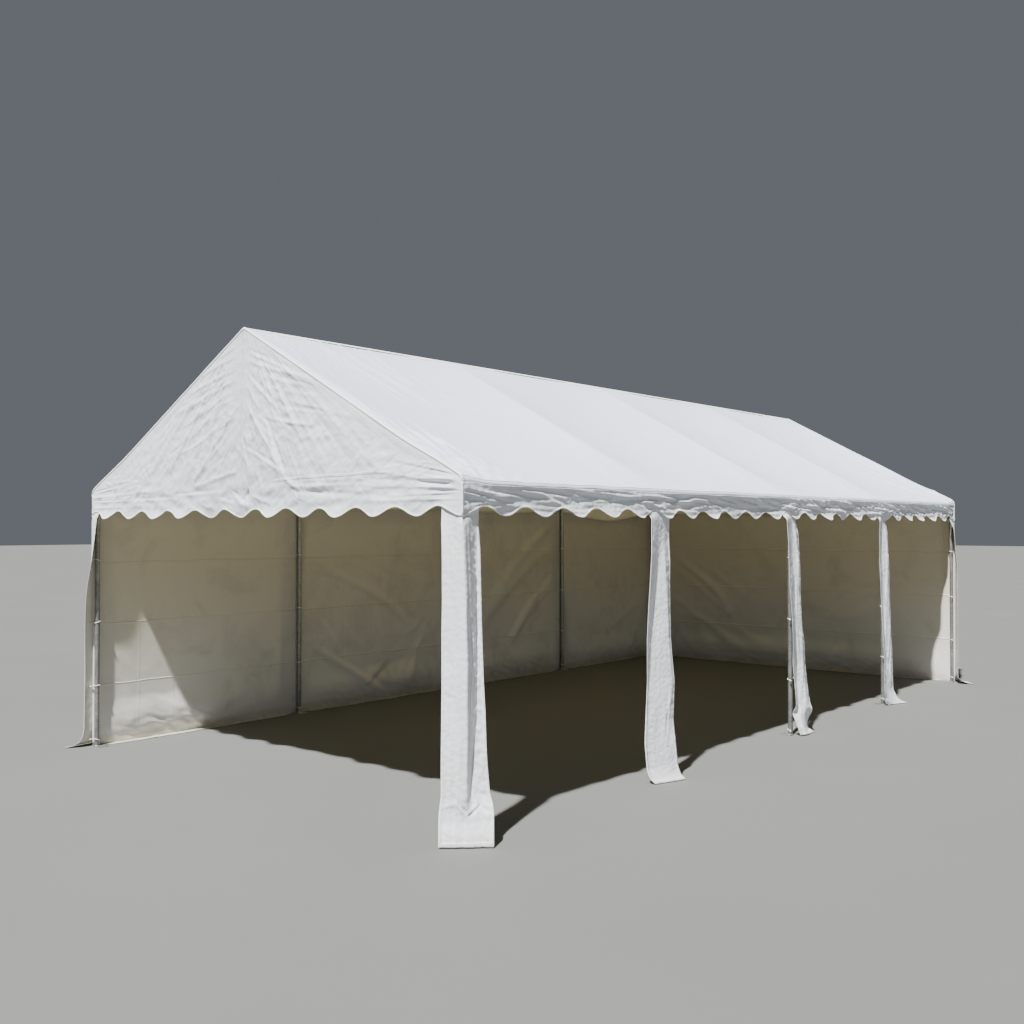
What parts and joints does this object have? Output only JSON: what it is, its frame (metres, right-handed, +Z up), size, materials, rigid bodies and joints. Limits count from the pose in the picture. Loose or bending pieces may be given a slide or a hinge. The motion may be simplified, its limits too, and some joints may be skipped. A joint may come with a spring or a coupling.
{
  "type": "marquee tent",
  "caption": "Gabled marquee tent with a tube frame, white cloth roof with a scalloped valance, walls on one long side and one end.",
  "frame": {"origin": "on the ground, in the middle of the tent's plan", "axes": "+Z up, +Y from the open front gable to the closed back gable, +X towards the open long side"},
  "size_m": [4.2034, 8.2034, 3.0599],
  "materials": {
    "galvanised_steel": "galvanised, dull",
    "roof_cloth": "coated, satin",
    "wall_cloth": "coated, satin",
    "leg_cloth": "coated, satin"
  },
  "bodies": {
    "root": {"eave_rail_left": "galvanised_steel", "eave_rail_right": "galvanised_steel", "ridge_rail": "galvanised_steel", "post_left_1": "galvanised_steel", "post_left_2": "galvanised_steel", "post_left_3": "galvanised_steel", "post_left_4": "galvanised_steel", "post_left_5": "galvanised_steel", "post_right_1": "galvanised_steel", "post_right_2": "galvanised_steel", "post_right_3": "galvanised_steel", "post_right_4": "galvanised_steel", "post_right_5": "galvanised_steel", "rafter_left_1": "galvanised_steel", "rafter_left_2": "galvanised_steel", "rafter_left_3": "galvanised_steel", "rafter_left_4": "galvanised_steel", "rafter_left_5": "galvanised_steel", "rafter_right_1": "galvanised_steel", "rafter_right_2": "galvanised_steel", "rafter_right_3": "galvanised_steel", "rafter_right_4": "galvanised_steel", "rafter_right_5": "galvanised_steel", "roof_slope_left": "roof_cloth", "valance_left": "roof_cloth", "roof_slope_right": "roof_cloth", "valance_right": "roof_cloth", "gable_front": "roof_cloth", "gable_back": "roof_cloth", "wall_left_1": "wall_cloth", "wall_left_2": "wall_cloth", "wall_left_3": "wall_cloth", "wall_left_4": "wall_cloth", "wall_back": "wall_cloth", "leg_cover_left_1": "leg_cloth", "leg_cover_left_2": "leg_cloth", "leg_cover_left_3": "leg_cloth", "leg_cover_left_4": "leg_cloth", "leg_cover_left_5": "leg_cloth", "leg_cover_right_1": "leg_cloth", "leg_cover_right_2": "leg_cloth", "leg_cover_right_3": "leg_cloth", "leg_cover_right_4": "leg_cloth", "leg_cover_right_5": "leg_cloth"}
  },
  "joints": []
}
